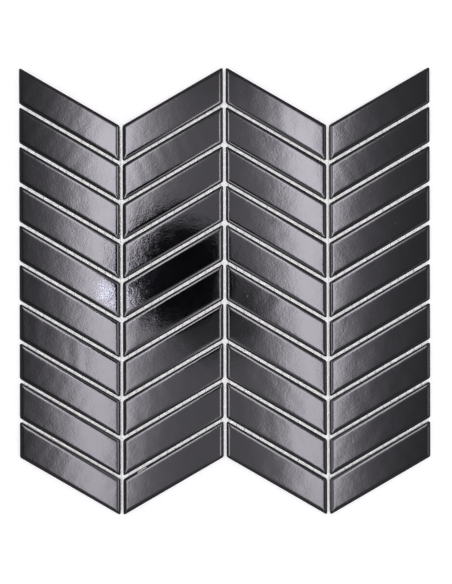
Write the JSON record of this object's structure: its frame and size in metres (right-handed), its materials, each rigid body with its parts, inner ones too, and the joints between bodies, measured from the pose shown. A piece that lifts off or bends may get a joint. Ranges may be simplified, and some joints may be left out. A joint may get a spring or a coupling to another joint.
{
  "type": "chevron mosaic tile sheet",
  "caption": "Sheet of glossy black glazed parallelogram chips in columns that lean opposite ways to form chevrons, glued to an open net for tiling walls and floors",
  "frame": {"origin": "under the middle of the sheet, on the underside of the net", "axes": "+X across the columns, +Y up the columns, +Z out of the glazed faces; the sheet lies flat, net down"},
  "size_m": [0.265, 0.288, 0.0066],
  "materials": {
    "glazed_porcelain": "black gloss glaze over pressed porcelain, with a rounded rim and a bare pale back",
    "glass_fibre": "white glass-fibre threads stiffened with resin, matt"
  },
  "bodies": {
    "root": {"chip_col1_row01": "glazed_porcelain", "chip_col1_row02": "glazed_porcelain", "chip_col1_row03": "glazed_porcelain", "chip_col1_row04": "glazed_porcelain", "chip_col1_row05": "glazed_porcelain", "chip_col1_row06": "glazed_porcelain", "chip_col1_row07": "glazed_porcelain", "chip_col1_row08": "glazed_porcelain", "chip_col1_row09": "glazed_porcelain", "chip_col1_row10": "glazed_porcelain", "chip_col2_row01": "glazed_porcelain", "chip_col2_row02": "glazed_porcelain", "chip_col2_row03": "glazed_porcelain", "chip_col2_row04": "glazed_porcelain", "chip_col2_row05": "glazed_porcelain", "chip_col2_row06": "glazed_porcelain", "chip_col2_row07": "glazed_porcelain", "chip_col2_row08": "glazed_porcelain", "chip_col2_row09": "glazed_porcelain", "chip_col2_row10": "glazed_porcelain", "chip_col3_row01": "glazed_porcelain", "chip_col3_row02": "glazed_porcelain", "chip_col3_row03": "glazed_porcelain", "chip_col3_row04": "glazed_porcelain", "chip_col3_row05": "glazed_porcelain", "chip_col3_row06": "glazed_porcelain", "chip_col3_row07": "glazed_porcelain", "chip_col3_row08": "glazed_porcelain", "chip_col3_row09": "glazed_porcelain", "chip_col3_row10": "glazed_porcelain", "chip_col4_row01": "glazed_porcelain", "chip_col4_row02": "glazed_porcelain", "chip_col4_row03": "glazed_porcelain", "chip_col4_row04": "glazed_porcelain", "chip_col4_row05": "glazed_porcelain", "chip_col4_row06": "glazed_porcelain", "chip_col4_row07": "glazed_porcelain", "chip_col4_row08": "glazed_porcelain", "chip_col4_row09": "glazed_porcelain", "chip_col4_row10": "glazed_porcelain", "net_warp": "glass_fibre", "net_weft": "glass_fibre"}
  },
  "joints": []
}
